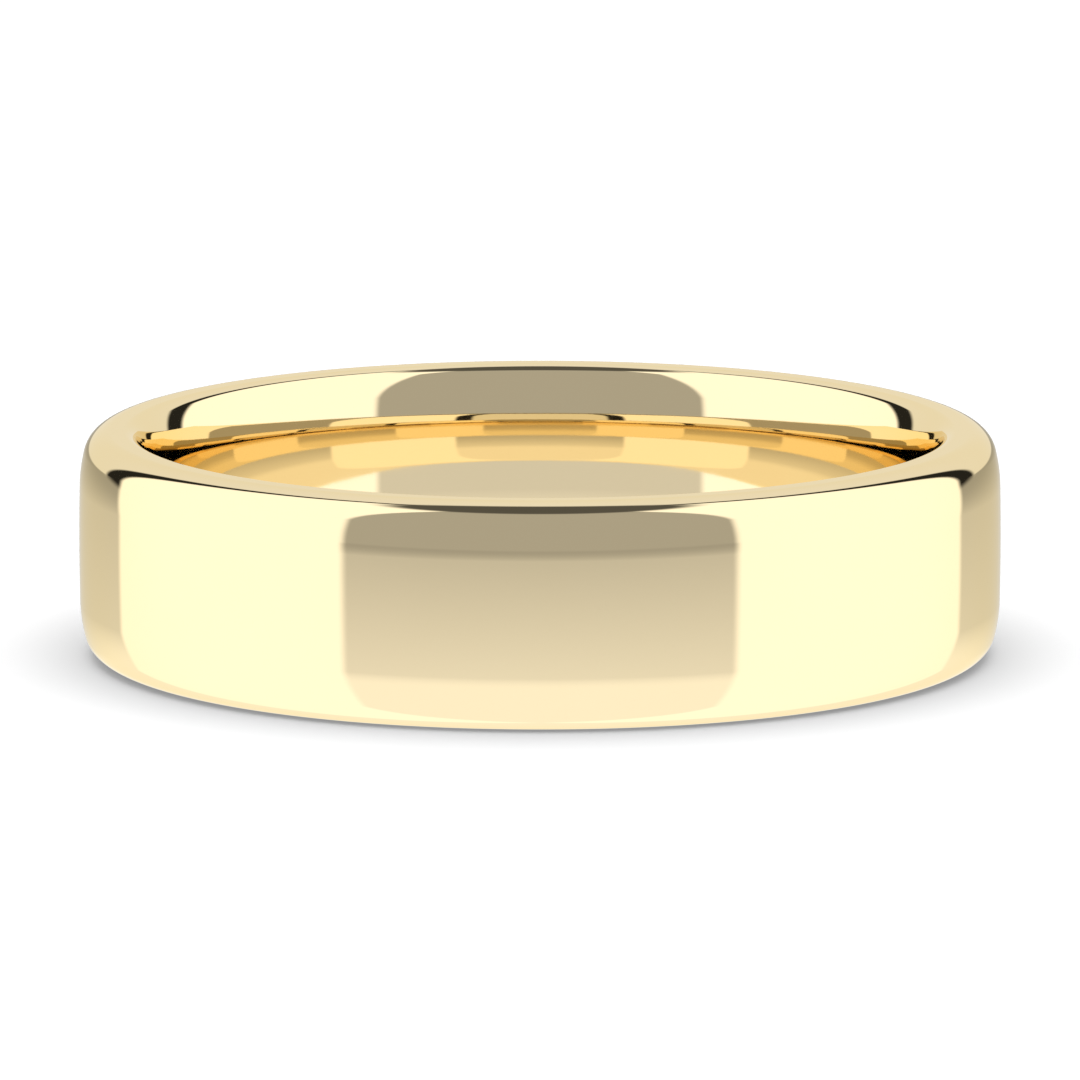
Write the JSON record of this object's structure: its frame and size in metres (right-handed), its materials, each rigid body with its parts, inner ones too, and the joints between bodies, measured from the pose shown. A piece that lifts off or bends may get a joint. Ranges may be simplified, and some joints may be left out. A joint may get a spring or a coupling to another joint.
{
  "type": "wedding band",
  "caption": "Plain mirror-polished yellow gold ring with a slightly crowned outer face, soft shoulders, narrow flat rims and a comfort-fit inner face.",
  "frame": {"origin": "centre of the lower rim, on the finger axis, in the plane the band lies on", "axes": "+Z along the finger axis; X and Y lie in the plane of the lower rim and are alike, because the band is a body of revolution"},
  "size_m": [0.0204, 0.0204, 0.005],
  "materials": {
    "gold": "mirror polished yellow gold"
  },
  "bodies": {
    "root": {"band": "gold"}
  },
  "joints": []
}
